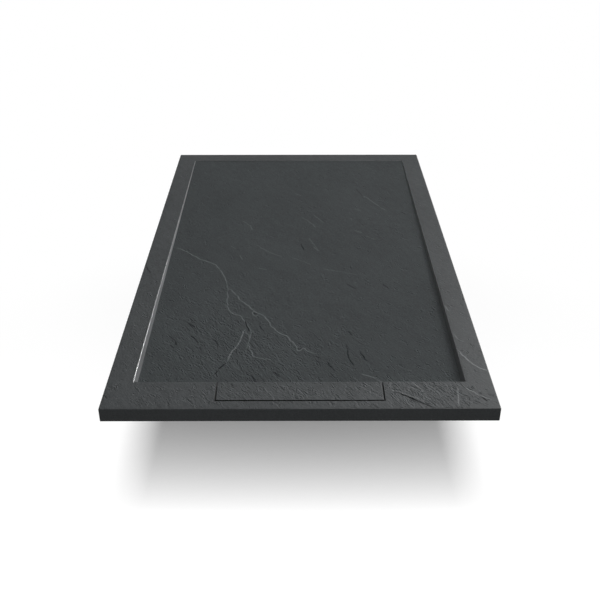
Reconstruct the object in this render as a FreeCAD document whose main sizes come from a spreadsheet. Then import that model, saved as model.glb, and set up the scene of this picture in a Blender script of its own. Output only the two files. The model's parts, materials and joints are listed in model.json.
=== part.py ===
import FreeCAD, Part
import Sketcher
import os

# A framed rectangular shower tray: one thin slab of cast stone resin with a bevelled recess whose
# floor falls to a sump at one short end. A flush cover of the same stone hides the sump, and a
# threaded waste fitting with a lift-out hair strainer is clamped through the slab below it.
#
# Millimetres. X runs across the tray, Y along it with the drain end at -Y, and Z up.
# The origin is the centre of the slab's underside.

document = FreeCAD.newDocument("shower_tray")

# ---------------------------------------------------------------- driving sizes

DRIVING_SIZES = (
    # slab
    ("tray_width", 800, "across the tray"),
    ("tray_length", 1400, "along the tray"),
    ("tray_thickness", 30, "underside to rim"),
    ("corner_radius", 2, "upright corners of the slab"),
    ("edge_radius", 1, "top outer edge of the slab"),
    # recess
    ("side_rim", 55, "flat rim along both long sides"),
    ("far_rim", 55, "flat rim at the far end"),
    ("near_rim", 92, "flat rim at the drain end, which holds the cover"),
    ("recess_depth_near", 12, "rim to floor at the drain end"),
    ("recess_depth_far", 2, "rim to floor at the far end"),
    ("wall_angle", 24.6, "lean of the recess walls from upright, in degrees"),
    # cover
    ("cover_width", 340, "along X"),
    ("cover_depth", 63, "along Y"),
    ("cover_thickness", 8, "the plate alone"),
    ("cover_chamfer", 0.5, "broken edge round the top of the plate"),
    ("cover_gap", 2, "slot round the cover on three sides"),
    ("pad_diameter", 6, "each rubber pad"),
    ("pad_height", 1.5, "each rubber pad"),
    ("pad_inset", 1, "pad's edge to the end of the cover"),
    ("pad_side_inset", 7, "pad's edge to the long side of the cover"),
    # sump
    ("ledge_width", 10, "ledges that carry the pads at both ends of the cover"),
    ("near_ledge", 4, "ledge along the front of the sump"),
    ("sump_reach", 7, "sump past the cover, into the recess"),
    ("sump_drop", 4, "sump floor below the lowest recess floor"),
    # waste fitting
    ("flange_diameter", 62, "flange in the sump"),
    ("flange_thickness", 2.5, "flange in the sump"),
    ("flange_clearance", 0.5, "flange to the wall of its seat"),
    ("gasket_thickness", 1.5, "rubber under the flange"),
    ("gasket_inset", 1, "gasket's rim inside the flange's rim"),
    ("tail_diameter", 47.8, "major diameter of a G 1 1/2 thread"),
    ("tail_bore", 40, "water way of the tail"),
    ("tail_bore_height", 24, "the narrow bore, from the tail's end"),
    ("tail_chamfer", 1, "end of the thread"),
    ("tail_reach", 25, "tail below the slab's underside"),
    ("hole_clearance", 0.6, "tail to the wall of its hole in the slab"),
    ("spotface_diameter", 74, "machined seat in the underside"),
    ("spotface_depth", 1.5, "machined seat in the underside"),
    ("thread_clearance", 0.05, "rings and nut round the thread"),
    ("washer_diameter", 66, "rubber and plastic rings under the slab"),
    ("washer_thickness", 3, "rubber ring"),
    ("slip_thickness", 1, "plastic ring"),
    ("nut_across_flats", 57, "hexagon nut"),
    ("nut_height", 9, "hexagon nut"),
    ("nut_chamfer", 1, "lower corners of the nut"),
    # strainer
    ("strainer_diameter", 46, "rim of the strainer"),
    ("strainer_rim", 1.5, "thickness of the rim"),
    ("strainer_clearance", 0.4, "rim to the wall of its seat"),
    ("cup_diameter", 38, "outside of the cup"),
    ("cup_depth", 14, "top of the rim to underside of the cup"),
    ("cup_wall", 1.2, "wall and floor of the cup"),
    ("cup_clearance", 2, "cup to the wall of the fitting"),
    ("drain_hole", 3.5, "each round hole in the cup's floor"),
    ("inner_ring_radius", 5.5, "inner ring of holes"),
    ("inner_ring_count", 6, "holes in the inner ring"),
    ("outer_ring_radius", 12, "outer ring of holes"),
    ("outer_ring_count", 14, "holes in the outer ring"),
    ("slot_width", 2.5, "each upright slot in the cup's wall"),
    ("slot_height", 6, "each upright slot in the cup's wall"),
    ("slot_count", 16, "slots round the cup"),
)

sheet = document.addObject("Spreadsheet::Sheet", "sizes")
for row, (alias, value, meaning) in enumerate(DRIVING_SIZES, start=1):
    sheet.set(f"A{row}", alias)
    sheet.set(f"B{row}", str(value))
    sheet.set(f"C{row}", meaning)
    sheet.setAlias(f"B{row}", alias)
document.recompute()

# ---------------------------------------------------------------- places, as formulas of the sizes

RECESS_HALF_WIDTH = "(sizes.tray_width / 2 - sizes.side_rim)"
RECESS_NEAR = "(sizes.near_rim - sizes.tray_length / 2)"
RECESS_FAR = "(sizes.tray_length / 2 - sizes.far_rim)"
WALL_RUN = "(sizes.recess_depth_near * tan(sizes.wall_angle))"
FLOOR_NEAR = "(sizes.tray_thickness - sizes.recess_depth_near)"
FLOOR_FAR = "(sizes.tray_thickness - sizes.recess_depth_far)"

COVER_BOTTOM = "(sizes.tray_thickness - sizes.cover_thickness)"
COVER_NEAR = f"({RECESS_NEAR} - sizes.cover_depth)"
LEDGE_TOP = f"({COVER_BOTTOM} - sizes.pad_height)"
OPENING_HALF_WIDTH = "(sizes.cover_width / 2 + sizes.cover_gap)"
OPENING_NEAR = f"({COVER_NEAR} - sizes.cover_gap)"

SUMP_HALF_WIDTH = f"({OPENING_HALF_WIDTH} - sizes.ledge_width)"
SUMP_NEAR = f"({OPENING_NEAR} + sizes.near_ledge)"
SUMP_FAR = f"({RECESS_NEAR} + sizes.sump_reach)"
SUMP_FLOOR = f"({FLOOR_NEAR} - sizes.sump_drop)"

WASTE_Y = f"(({SUMP_NEAR} + {SUMP_FAR}) / 2)"
FLANGE_BOTTOM = f"({SUMP_FLOOR} - sizes.flange_thickness)"
SEAT_FLOOR = f"({FLANGE_BOTTOM} - sizes.gasket_thickness)"
STRAINER_SEAT = f"({SUMP_FLOOR} - sizes.strainer_rim)"
CUP_BOTTOM = f"({SUMP_FLOOR} - sizes.cup_depth)"
TAIL_HOLE = "(sizes.tail_diameter + 2 * sizes.hole_clearance)"
WASHER_BOTTOM = "(sizes.spotface_depth - sizes.washer_thickness)"
SLIP_BOTTOM = f"({WASHER_BOTTOM} - sizes.slip_thickness)"
NUT_BOTTOM = f"({SLIP_BOTTOM} - sizes.nut_height)"
THREAD_HOLE = "(sizes.tail_diameter + 2 * sizes.thread_clearance)"

# ---------------------------------------------------------------- how features are made

# how a sketch numbers its own origin and axes, and the points of a curve
ORIGIN = (-1, 1)
HORIZONTAL_AXIS = -1
VERTICAL_AXIS = -2
START, END, CENTRE = range(1, 4)

# how far apart two heights may be and still count as one
LEVEL_TOLERANCE = 1e-6


def new_body(name):
    body = document.addObject("PartDesign::Body", name)
    body.Label = name
    return body


def origin_plane(body, role):
    return next(plane for plane in body.Origin.OriginFeatures if plane.Role == role)


def new_sketch(body, name, role="XY_Plane", height="0"):
    """A sketch on one of the body's own origin planes, raised along the plane's normal."""
    sketch = body.newObject("Sketcher::SketchObject", name)
    sketch.AttachmentSupport = (origin_plane(body, role), [""])
    sketch.MapMode = "FlatFace"
    sketch.setExpression("AttachmentOffset.Base.z", height)
    return sketch


def place_point(sketch, curve, position, across, up):
    """Ties a point to the sketch's origin by two formulas, or to an axis where one is "0"."""
    for kind, axis, formula in (
        ("DistanceX", VERTICAL_AXIS, across),
        ("DistanceY", HORIZONTAL_AXIS, up),
    ):
        if formula == "0":
            sketch.addConstraint(Sketcher.Constraint("PointOnObject", curve, position, axis))
        else:
            number = sketch.addConstraint(Sketcher.Constraint(kind, *ORIGIN, curve, position, 1.0))
            sketch.setExpression(f"Constraints[{number}]", formula)


def draw_outline(sketch, corners):
    """A closed outline of straight lines through corners given as formulas."""
    total = len(corners)
    # the lines start anywhere, on a curve that keeps them apart: the formulas then place them
    rough = [FreeCAD.Vector(step, step * step, 0) for step in range(total)]
    for step in range(total):
        sketch.addGeometry(Part.LineSegment(rough[step], rough[(step + 1) % total]), False)
    for step in range(total):
        following = (step + 1) % total
        sketch.addConstraint(Sketcher.Constraint("Coincident", step, END, following, START))
    for step, (across, up) in enumerate(corners):
        place_point(sketch, step, START, across, up)


def draw_rectangle(sketch, left, right, low, high):
    draw_outline(sketch, ((left, low), (right, low), (right, high), (left, high)))


def draw_circle(sketch, diameter, across="0", up="0"):
    circle = Part.Circle(FreeCAD.Vector(1, 1, 0), FreeCAD.Vector(0, 0, 1), 1)
    curve = sketch.addGeometry(circle, False)
    place_point(sketch, curve, CENTRE, across, up)
    number = sketch.addConstraint(Sketcher.Constraint("Diameter", curve, 1.0))
    sketch.setExpression(f"Constraints[{number}]", diameter)


def pad(body, sketch, name, length, midplane=False):
    feature = body.newObject("PartDesign::Pad", name)
    feature.Profile = sketch
    feature.setExpression("Length", length)
    feature.Midplane = midplane
    document.recompute()
    return feature


def pocket(body, sketch, name, length, upwards=False, taper=None):
    """Cuts down from the sketch, or up from it, and makes sure that something was cut."""
    before = body.Shape.Volume
    feature = body.newObject("PartDesign::Pocket", name)
    feature.Profile = sketch
    feature.Type = "Length"
    feature.setExpression("Length", length)
    feature.Reversed = upwards
    if taper:
        feature.setExpression("TaperAngle", taper)
    document.recompute()
    if not body.Shape.Volume < before:
        raise RuntimeError(f"{name} cuts nothing")
    return feature


def revolve(body, sketch, name):
    feature = body.newObject("PartDesign::Revolution", name)
    feature.Profile = sketch
    feature.ReferenceAxis = (sketch, ["V_Axis"])
    feature.Angle = 360
    document.recompute()
    return feature


def repeat_round(body, feature, name, sketch, count):
    """Repeats a cut round the axis through the origin of a sketch that lies flat."""
    pattern = body.newObject("PartDesign::PolarPattern", name)
    pattern.Originals = [feature]
    pattern.Axis = (sketch, ["N_Axis"])
    pattern.Angle = 360
    pattern.setExpression("Occurrences", count)
    body.Tip = pattern
    document.recompute()
    return pattern


def edges_at(shape, level):
    """The names of the edges whose middle lies at one level."""
    names = []
    for number, edge in enumerate(shape.Edges, start=1):
        middle = edge.valueAt((edge.FirstParameter + edge.LastParameter) / 2)
        if abs(middle.z - level) < LEVEL_TOLERANCE:
            names.append(f"Edge{number}")
    return names


def finish_edges(body, kind, name, base, edges, size_property, size):
    feature = body.newObject(kind, name)
    feature.Base = (base, edges)
    feature.setExpression(size_property, size)
    document.recompute()
    return feature


# ---------------------------------------------------------------- slab


def make_tray_slab():
    body = new_body("tray_slab")

    outline = new_sketch(body, "slab_outline")
    half_width = "sizes.tray_width / 2"
    half_length = "sizes.tray_length / 2"
    draw_rectangle(outline, f"-{half_width}", half_width, f"-{half_length}", half_length)
    block = pad(body, outline, "slab_block", "sizes.tray_thickness")

    thickness = block.Shape.BoundBox.ZMax
    upright = edges_at(block.Shape, thickness / 2)
    corners = finish_edges(
        body, "PartDesign::Fillet", "slab_corners", block, upright, "Radius", "sizes.corner_radius"
    )
    top = edges_at(corners.Shape, thickness)
    finish_edges(
        body, "PartDesign::Fillet", "slab_edge", corners, top, "Radius", "sizes.edge_radius"
    )

    # the recess: a level floor first, with walls that lean outwards
    recess_outline = new_sketch(body, "recess_outline", height="sizes.tray_thickness")
    draw_rectangle(
        recess_outline, f"-{RECESS_HALF_WIDTH}", RECESS_HALF_WIDTH, RECESS_NEAR, RECESS_FAR
    )
    pocket(
        body, recess_outline, "recess", "sizes.recess_depth_near", taper="-sizes.wall_angle"
    )

    # then the fall: a long wedge that raises the floor towards the far end
    fall_outline = new_sketch(body, "fall_outline", role="YZ_Plane")
    draw_outline(
        fall_outline,
        (
            (f"{RECESS_NEAR} + {WALL_RUN}", FLOOR_NEAR),
            (RECESS_FAR, FLOOR_NEAR),
            (RECESS_FAR, FLOOR_FAR),
        ),
    )
    pad(body, fall_outline, "fall", f"2 * {RECESS_HALF_WIDTH}", midplane=True)

    # the opening for the cover, down to the ledges, and the sump between them
    opening_outline = new_sketch(body, "opening_outline", height="sizes.tray_thickness")
    draw_rectangle(
        opening_outline,
        f"-{OPENING_HALF_WIDTH}",
        OPENING_HALF_WIDTH,
        OPENING_NEAR,
        f"{RECESS_NEAR} + {WALL_RUN}",
    )
    pocket(body, opening_outline, "cover_opening", f"sizes.tray_thickness - {LEDGE_TOP}")
    sump_outline = new_sketch(body, "sump_outline", height="sizes.tray_thickness")
    draw_rectangle(
        sump_outline, f"-{SUMP_HALF_WIDTH}", SUMP_HALF_WIDTH, SUMP_NEAR, SUMP_FAR
    )
    pocket(body, sump_outline, "sump", f"sizes.tray_thickness - {SUMP_FLOOR}")

    # the seat of the waste's flange, the hole for its tail, and the seat of the ring below
    seat_outline = new_sketch(body, "seat_outline", height=SUMP_FLOOR)
    draw_circle(
        seat_outline, "sizes.flange_diameter + 2 * sizes.flange_clearance", up=WASTE_Y
    )
    pocket(body, seat_outline, "flange_seat", f"{SUMP_FLOOR} - {SEAT_FLOOR}")
    hole_outline = new_sketch(body, "hole_outline", height=SEAT_FLOOR)
    draw_circle(hole_outline, TAIL_HOLE, up=WASTE_Y)
    pocket(body, hole_outline, "waste_hole", SEAT_FLOOR)
    spotface_outline = new_sketch(body, "spotface_outline")
    draw_circle(spotface_outline, "sizes.spotface_diameter", up=WASTE_Y)
    pocket(body, spotface_outline, "spotface", "sizes.spotface_depth", upwards=True)
    return body


# ---------------------------------------------------------------- cover


def make_drain_cover():
    body = new_body("drain_cover")
    outline = new_sketch(body, "cover_outline", height=COVER_BOTTOM)
    half_width = "sizes.cover_width / 2"
    draw_rectangle(outline, f"-{half_width}", half_width, COVER_NEAR, RECESS_NEAR)
    plate = pad(body, outline, "cover_plate", "sizes.cover_thickness")
    rim = edges_at(plate.Shape, plate.Shape.BoundBox.ZMax)
    finish_edges(
        body, "PartDesign::Chamfer", "cover_edge", plate, rim, "Size", "sizes.cover_chamfer"
    )
    return body


def make_cover_pads():
    across = "(sizes.cover_width / 2 - sizes.pad_inset - sizes.pad_diameter / 2)"
    near = f"({COVER_NEAR} + sizes.pad_side_inset + sizes.pad_diameter / 2)"
    far = f"({RECESS_NEAR} - sizes.pad_side_inset - sizes.pad_diameter / 2)"
    pads = []
    for number, (x, y) in enumerate(
        ((f"-{across}", near), (across, near), (across, far), (f"-{across}", far)), start=1
    ):
        rubber = document.addObject("Part::Cylinder", f"cover_pad_{number}")
        rubber.setExpression("Radius", "sizes.pad_diameter / 2")
        rubber.setExpression("Height", "sizes.pad_height")
        rubber.setExpression("Placement.Base.x", x)
        rubber.setExpression("Placement.Base.y", y)
        rubber.setExpression("Placement.Base.z", LEDGE_TOP)
        pads.append(rubber)
    group = document.addObject("Part::Compound", "cover_pads")
    group.Label = "cover_pads"
    group.Links = pads
    return group


# ---------------------------------------------------------------- waste fitting


def make_waste_flange():
    """Turned about its own axis: a flange with a seat for the strainer, and a threaded tail."""
    body = new_body("waste_flange")
    bore = "sizes.tail_bore / 2"
    cup_bore = "(sizes.cup_diameter / 2 + sizes.cup_clearance)"
    tail = "sizes.tail_diameter / 2"
    flange = "sizes.flange_diameter / 2"
    seat = "(sizes.strainer_diameter / 2 + sizes.strainer_clearance)"
    end = "-sizes.tail_reach"
    step = "sizes.tail_bore_height - sizes.tail_reach"
    profile = new_sketch(body, "waste_profile", role="XZ_Plane")
    draw_outline(
        profile,
        (
            (bore, end),
            (f"{tail} - sizes.tail_chamfer", end),
            (tail, f"{end} + sizes.tail_chamfer"),
            (tail, FLANGE_BOTTOM),
            (flange, FLANGE_BOTTOM),
            (flange, SUMP_FLOOR),
            (seat, SUMP_FLOOR),
            (seat, STRAINER_SEAT),
            (cup_bore, STRAINER_SEAT),
            (cup_bore, step),
            (bore, step),
        ),
    )
    revolve(body, profile, "waste_turning")
    body.setExpression("Placement.Base.y", WASTE_Y)
    return body


def make_ring(name, outer, inner, bottom, height):
    """A flat ring round the waste's axis."""
    body = new_body(name)
    outline = new_sketch(body, f"{name}_outline", height=bottom)
    draw_circle(outline, outer)
    draw_circle(outline, inner)
    pad(body, outline, f"{name}_ring", height)
    body.setExpression("Placement.Base.y", WASTE_Y)
    return body


def make_backnut():
    body = new_body("backnut")
    flat = "sizes.nut_across_flats / 2"
    side = "sizes.nut_across_flats / 2 * tan(30)"
    point = "sizes.nut_across_flats / 2 / cos(30)"
    outline = new_sketch(body, "nut_outline", height=NUT_BOTTOM)
    draw_outline(
        outline,
        (
            ("0", f"-{point}"),
            (flat, f"-{side}"),
            (flat, side),
            ("0", point),
            (f"-{flat}", side),
            (f"-{flat}", f"-{side}"),
        ),
    )
    block = pad(body, outline, "nut_block", "sizes.nut_height")
    rim = edges_at(block.Shape, block.Shape.BoundBox.ZMin)
    finish_edges(
        body, "PartDesign::Chamfer", "nut_edge", block, rim, "Size", "sizes.nut_chamfer"
    )
    bore = new_sketch(body, "nut_bore", height=NUT_BOTTOM)
    draw_circle(bore, THREAD_HOLE)
    pocket(body, bore, "nut_hole", "sizes.nut_height", upwards=True)
    body.setExpression("Placement.Base.y", WASTE_Y)
    return body


# ---------------------------------------------------------------- strainer


def make_hair_strainer():
    """A thin cup that hangs by its rim, with a floor full of holes and slots round its wall."""
    body = new_body("hair_strainer")
    rim = "sizes.strainer_diameter / 2"
    outside = "sizes.cup_diameter / 2"
    inside = f"({outside} - sizes.cup_wall)"
    profile = new_sketch(body, "strainer_profile", role="XZ_Plane")
    draw_outline(
        profile,
        (
            ("0", CUP_BOTTOM),
            (outside, CUP_BOTTOM),
            (outside, STRAINER_SEAT),
            (rim, STRAINER_SEAT),
            (rim, SUMP_FLOOR),
            (inside, SUMP_FLOOR),
            (inside, f"{CUP_BOTTOM} + sizes.cup_wall"),
            ("0", f"{CUP_BOTTOM} + sizes.cup_wall"),
        ),
    )
    revolve(body, profile, "strainer_cup")

    middle = new_sketch(body, "middle_hole", height=CUP_BOTTOM)
    draw_circle(middle, "sizes.drain_hole")
    pocket(body, middle, "middle_cut", "sizes.cup_wall", upwards=True)
    for ring in ("inner_ring", "outer_ring"):
        hole = new_sketch(body, f"{ring}_hole", height=CUP_BOTTOM)
        draw_circle(hole, "sizes.drain_hole", across=f"sizes.{ring}_radius")
        cut = pocket(body, hole, f"{ring}_cut", "sizes.cup_wall", upwards=True)
        repeat_round(body, cut, f"{ring}_holes", hole, f"sizes.{ring}_count")

    # one upright slot, half way up the wall on the +X side, is repeated all round
    slot_bottom = f"({CUP_BOTTOM} + {STRAINER_SEAT} - sizes.slot_height) / 2"
    slot = new_sketch(body, "wall_slot", height=slot_bottom)
    draw_rectangle(
        slot,
        f"{inside} - sizes.cup_wall",
        f"{outside} + sizes.cup_wall",
        "-sizes.slot_width / 2",
        "sizes.slot_width / 2",
    )
    cut = pocket(body, slot, "slot_cut", "sizes.slot_height", upwards=True)
    repeat_round(body, cut, "wall_slots", slot, "sizes.slot_count")
    body.setExpression("Placement.Base.y", WASTE_Y)
    return body


# ---------------------------------------------------------------- all the pieces

pieces = [
    make_tray_slab(),
    make_drain_cover(),
    make_cover_pads(),
    make_waste_flange(),
    make_ring(
        "flange_gasket",
        "sizes.flange_diameter - 2 * sizes.gasket_inset",
        TAIL_HOLE,
        SEAT_FLOOR,
        "sizes.gasket_thickness",
    ),
    make_ring(
        "underside_washer",
        "sizes.washer_diameter",
        THREAD_HOLE,
        WASHER_BOTTOM,
        "sizes.washer_thickness",
    ),
    make_ring(
        "slip_washer", "sizes.washer_diameter", THREAD_HOLE, SLIP_BOTTOM, "sizes.slip_thickness"
    ),
    make_backnut(),
    make_hair_strainer(),
]
document.recompute()

for item in document.Objects:
    if "Invalid" in item.State or "Error" in item.State:
        raise RuntimeError(f"{item.Name} failed: {item.State}")
for piece in pieces:
    if piece.Shape.isNull() or not piece.Shape.isValid():
        raise RuntimeError(f"{piece.Label} has no valid shape")

os.makedirs("parts", exist_ok=True)
for piece in pieces:
    piece.Shape.exportStep(f"parts/{piece.Label}.step")
    box = piece.Shape.BoundBox
    print(
        f"{piece.Label:18s} solids {len(piece.Shape.Solids)}  volume {piece.Shape.Volume:12.1f}"
        f"  x {box.XMin:8.2f} {box.XMax:8.2f}  y {box.YMin:8.2f} {box.YMax:8.2f}"
        f"  z {box.ZMin:7.2f} {box.ZMax:7.2f}"
    )
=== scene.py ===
"""The looks of a slate-effect shower tray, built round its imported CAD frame.

Metres. X runs across the tray, Y along it with the drain end at -Y, and Z up. The origin is the
centre of the slab's underside. Run as a script, it builds every piece and the studio round them.
"""

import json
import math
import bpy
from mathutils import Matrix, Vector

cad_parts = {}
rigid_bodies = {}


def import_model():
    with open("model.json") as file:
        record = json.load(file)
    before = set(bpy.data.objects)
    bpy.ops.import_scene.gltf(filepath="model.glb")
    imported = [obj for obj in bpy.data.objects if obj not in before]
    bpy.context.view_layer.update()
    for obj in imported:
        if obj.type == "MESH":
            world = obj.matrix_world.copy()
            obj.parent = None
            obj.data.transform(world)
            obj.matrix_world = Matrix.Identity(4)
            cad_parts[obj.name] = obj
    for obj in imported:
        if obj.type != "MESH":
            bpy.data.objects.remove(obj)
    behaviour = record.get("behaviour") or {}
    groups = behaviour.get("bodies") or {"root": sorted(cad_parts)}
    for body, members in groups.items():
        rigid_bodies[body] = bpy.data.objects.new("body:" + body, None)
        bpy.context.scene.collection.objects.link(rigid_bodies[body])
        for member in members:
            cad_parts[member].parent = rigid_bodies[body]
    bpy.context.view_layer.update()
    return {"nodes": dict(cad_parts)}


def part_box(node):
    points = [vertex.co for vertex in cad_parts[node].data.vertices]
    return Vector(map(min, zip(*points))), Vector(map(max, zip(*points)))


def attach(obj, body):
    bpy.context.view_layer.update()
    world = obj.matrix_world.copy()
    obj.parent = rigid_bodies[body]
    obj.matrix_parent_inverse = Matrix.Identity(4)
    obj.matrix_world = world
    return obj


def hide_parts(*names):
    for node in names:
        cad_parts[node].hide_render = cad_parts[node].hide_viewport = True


bl_info = {
    "name": "Slate Shower Tray",
    "version": (1, 0, 0),
    "blender": (4, 5, 0),
    "location": "3D View > Sidebar > Shower Tray",
    "description": "Builds a framed shower tray of cast slate-effect stone, and a studio round it",
    "category": "Object",
}

from functools import partial

import bmesh
import bpy
import numpy as np
from bpy.props import FloatProperty, FloatVectorProperty, IntProperty, PointerProperty
from mathutils import Euler, Vector, noise

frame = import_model()

MM = 0.001

# Where the CAD pieces are. What this script shapes itself starts from these places.
_, SLAB_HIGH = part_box("tray_slab")
COVER_LOW, COVER_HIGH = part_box("drain_cover")
PADS_LOW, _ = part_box("cover_pads")
FLANGE_LOW, FLANGE_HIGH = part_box("waste_flange")
GASKET_LOW, GASKET_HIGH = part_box("flange_gasket")
WASHER_LOW, WASHER_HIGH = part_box("underside_washer")
_, STRAINER_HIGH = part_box("hair_strainer")

HALF_WIDTH = SLAB_HIGH.x
HALF_LENGTH = SLAB_HIGH.y
RIM_TOP = SLAB_HIGH.z
RECESS_NEAR = COVER_HIGH.y
WASTE_Y = (FLANGE_LOW.y + FLANGE_HIGH.y) / 2
SUMP_FLOOR = FLANGE_HIGH.z

# outside of the waste's thread, without the room that its hole gives it
TAIL_RADIUS = 23.9 * MM
# sides of what is turned or bored round the waste's axis
ROUND_SIDES = 96

# roundings at the top and the foot of a recess wall, as shares of the recess's depth
ARRIS = 0.14
FILLET = 0.09
# where a wall and its roundings have their points, as shares of the wall's width
WALL_SHARES = np.array(
    (-0.22, -1.0 * ARRIS, -0.5 * ARRIS, 0, 0.5 * ARRIS, ARRIS, 0.5)
    + (1 - FILLET, 1 - 0.5 * FILLET, 1, 1 + 0.5 * FILLET, 1 + FILLET, 1.2)
)

# the grain of the slate runs from the far left to the near right, steeply along the tray
GRAIN_ANGLE = math.radians(-59)
# faces carry their finish as a number, counted in this order
REGIONS = ("side", "rim", "wall", "floor", "core", "arris")
REGION = {part: number for number, part in enumerate(REGIONS)}
# stone that leans more than this within the recess has the smooth finish of its walls
WALL_TILT = math.radians(16)
# how much of a wall's width has that finish, and how far its rubbed top edge reaches past ARRIS
WALL_SHARE = 0.95
ARRIS_REACH = 1.2
# relief is carved only in what faces up, and all of that lies above this height
TOP_ONLY = 17 * MM
# rows of the slab's points are this many mesh spacings apart: near rim, both ends of the floor, far rim
ROW_SPACINGS = (0.9, 0.95, 2.3, 2)
# distance between points of the cover
COVER_SPACING = 1.7 * MM

# the tray floats above the floor, as the shadow shows, and the shadow is seen in front of it
FLOOR_HEIGHT = -0.37
SHADOW_MIDDLE = -0.35
# half the floor's width, and how far from the shadow's middle it fades to plain white, in metres
FLOOR_HALF = 12
FLOOR_FADE = (0.75, 1.3)

# the photo's own point of view: 2.3 m from the slab's middle, looking down by 30.45 degrees
CAMERA_LENS = 51.3
CAMERA_PLACE = (-0.004, -2.051, 1.075)
CAMERA_TURN = (math.radians(90 - 30.45), 0, math.radians(-0.18))


# ---------------------------------------------------------------- colours


def linear(hex_colour):
    """An sRGB hex colour as linear red, green and blue."""
    channels = (int(hex_colour[start : start + 2], 16) / 255 for start in (1, 3, 5))
    return tuple(
        channel / 12.92 if channel <= 0.04045 else ((channel + 0.055) / 1.055) ** 2.4
        for channel in channels
    )


# ---------------------------------------------------------------- sizes and colours to change


def length(name, description, millimetres):
    return FloatProperty(
        name=name, description=description, default=millimetres * MM, min=0, unit="LENGTH"
    )


def colour(name, description, hex_colour):
    return FloatVectorProperty(
        name=name, description=description, default=linear(hex_colour), subtype="COLOR", min=0, max=1
    )


def power(name, description, watts):
    return FloatProperty(name=name, description=description, default=watts, min=0, unit="POWER")


def fraction(name, description, value):
    return FloatProperty(name=name, description=description, default=value, min=0, max=1)


class TraySizes(bpy.types.PropertyGroup):
    side_rim: length("Side Rim", "Flat rim along both long sides", 55)
    far_rim: length("Far Rim", "Flat rim at the far end", 55)
    depth_near: length("Depth at the Drain", "Rim to floor at the drain end", 12)
    depth_far: length("Depth at the Far End", "Rim to floor at the far end", 2)
    wall_angle: FloatProperty(
        name="Wall Angle",
        description="Lean of the recess walls from upright",
        default=math.radians(24.6),
        subtype="ANGLE",
    )
    corner_radius: length("Corner Radius", "Upright corners of the slab", 2)
    edge_radius: length("Edge Radius", "Worn top edge of the slab", 1.6)
    foot_radius: length("Foot Radius", "Rounded lower edge of the slab", 0.5)
    cover_gap: length("Cover Gap", "Slot round the cover", 2)
    cover_chamfer: length("Cover Chamfer", "Broken edge round the top of the cover", 0.6)
    opening_arris: length("Opening Arris", "Broken edge round the opening in the rim", 0.6)
    ledge_width: length("Ledge Width", "Ledges at both ends of the cover", 10)
    near_ledge: length("Near Ledge", "Ledge along the front of the sump", 4)
    sump_reach: length("Sump Reach", "Sump past the cover, into the recess", 7)
    seat_clearance: length("Seat Clearance", "Flange to the wall of its seat", 0.5)
    hole_clearance: length("Hole Clearance", "Tail to the wall of its hole", 0.6)
    spotface_clearance: length("Spotface Clearance", "Washer to the wall of its seat below", 4)
    thread_pitch: length("Thread Pitch", "Eleven turns to the inch, as on a G 1 1/2 tail", 2.309)
    thread_depth: length("Thread Depth", "Crest to root of the thread", 1.479)
    strainer_clearance: length("Strainer Clearance", "Strainer's rim to its seat", 0.4)
    strainer_rim: length("Strainer Rim", "Thickness of the strainer's rim", 1.5)
    cup_bore: length("Cup Bore", "Wide part of the water way, round the strainer's cup", 42)
    tail_bore: length("Tail Bore", "Narrow part of the water way", 40)
    tail_bore_height: length("Tail Bore Height", "Narrow part of the water way", 24)


class StoneRelief(bpy.types.PropertyGroup):
    mesh_spacing: length("Mesh Spacing", "Distance between points of the stone near the drain", 3.8)
    undulation: length("Undulation", "Height of the broad waves in the stone", 0.5)
    terraces: length("Terraces", "Height of the riven ledges", 0.35)
    chips: length("Chips", "Height of the small chips that have split off", 1.5)
    streaks: length("Streaks", "Height of the fine streaks along the grain", 0.85)
    grit: length("Grit", "Height of the fine grit that makes the stone grip", 0.3)
    veins: length("Veins", "Height of the fracture lines", 0.45)
    seed: IntProperty(name="Seed", description="Another number gives another stone", default=7)


class StoneColours(bpy.types.PropertyGroup):
    floor: colour("Floor", "Matt floor of the recess", "#3c3f40")
    rim: colour("Rim", "Satin rim and cover", "#444647")
    # also on the worn top edge, where its darker tone paints a thin line of shade along the outline
    side: colour("Sides", "Cast sides and underside", "#383a3b")
    # near black: on the sawn faces round the cover it paints the shade in the narrow gap
    core: colour("Core", "Dark core, bare where the cover was sawn out", "#0f1010")
    # the vein tint is a painted highlight: the light that each fracture line's raised step catches
    vein_highlight: colour("Vein", "Light mineral in the fracture lines", "#6e7071")
    # the crack tint is a painted shadow, laid in the cracks' real grooves
    crack_shadow: colour("Crack", "Dark cracks", "#161718")


class FittingColours(bpy.types.PropertyGroup):
    chrome: colour("Chrome", "Chromium plate on the waste", "#c9cdd0")
    brass: colour("Brass", "Bare brass of the backnut", "#c19a50")
    steel: colour("Steel", "Stainless steel of the strainer", "#b9bab8")
    rubber: colour("Rubber", "Black rubber of the seals and pads", "#1c1c1d")
    plastic: colour("Plastic", "Milky polyethylene of the slip washer", "#d8d6cd")


class StudioLight(bpy.types.PropertyGroup):
    back_right: power("Back Right Softbox", "Light from behind, which draws the left wall", 5500)
    shine: power("Shine", "Light seen only as a gloss on the walls and edges", 860)
    overhead: power("Overhead Softbox", "Broad light from above the viewer", 750)
    floor_lamp: power("Floor Softbox", "Light that gives the shadow below the tray", 1730)
    floor_glow: fraction("Floor Glow", "How pale the floor is inside the tray's shadow", 0.215)
    fill: fraction("Fill", "Even light from all round", 0.15)


# ---------------------------------------------------------------- nodes

MATH, VECTOR_MATH, MAP_RANGE = "ShaderNodeMath", "ShaderNodeVectorMath", "ShaderNodeMapRange"


def add_node(tree, kind, inputs=(), output=0, **settings):
    """Adds a node with its settings, fills or links its inputs, and gives one of its outputs."""
    node = tree.nodes.new(kind)
    for name, value in settings.items():
        setattr(node, name, value)
    for socket, value in dict(inputs).items():
        if isinstance(value, bpy.types.NodeSocket):
            tree.links.new(value, node.inputs[socket])
        else:
            node.inputs[socket].default_value = value
    return node.outputs[output] if node.outputs else node


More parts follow.
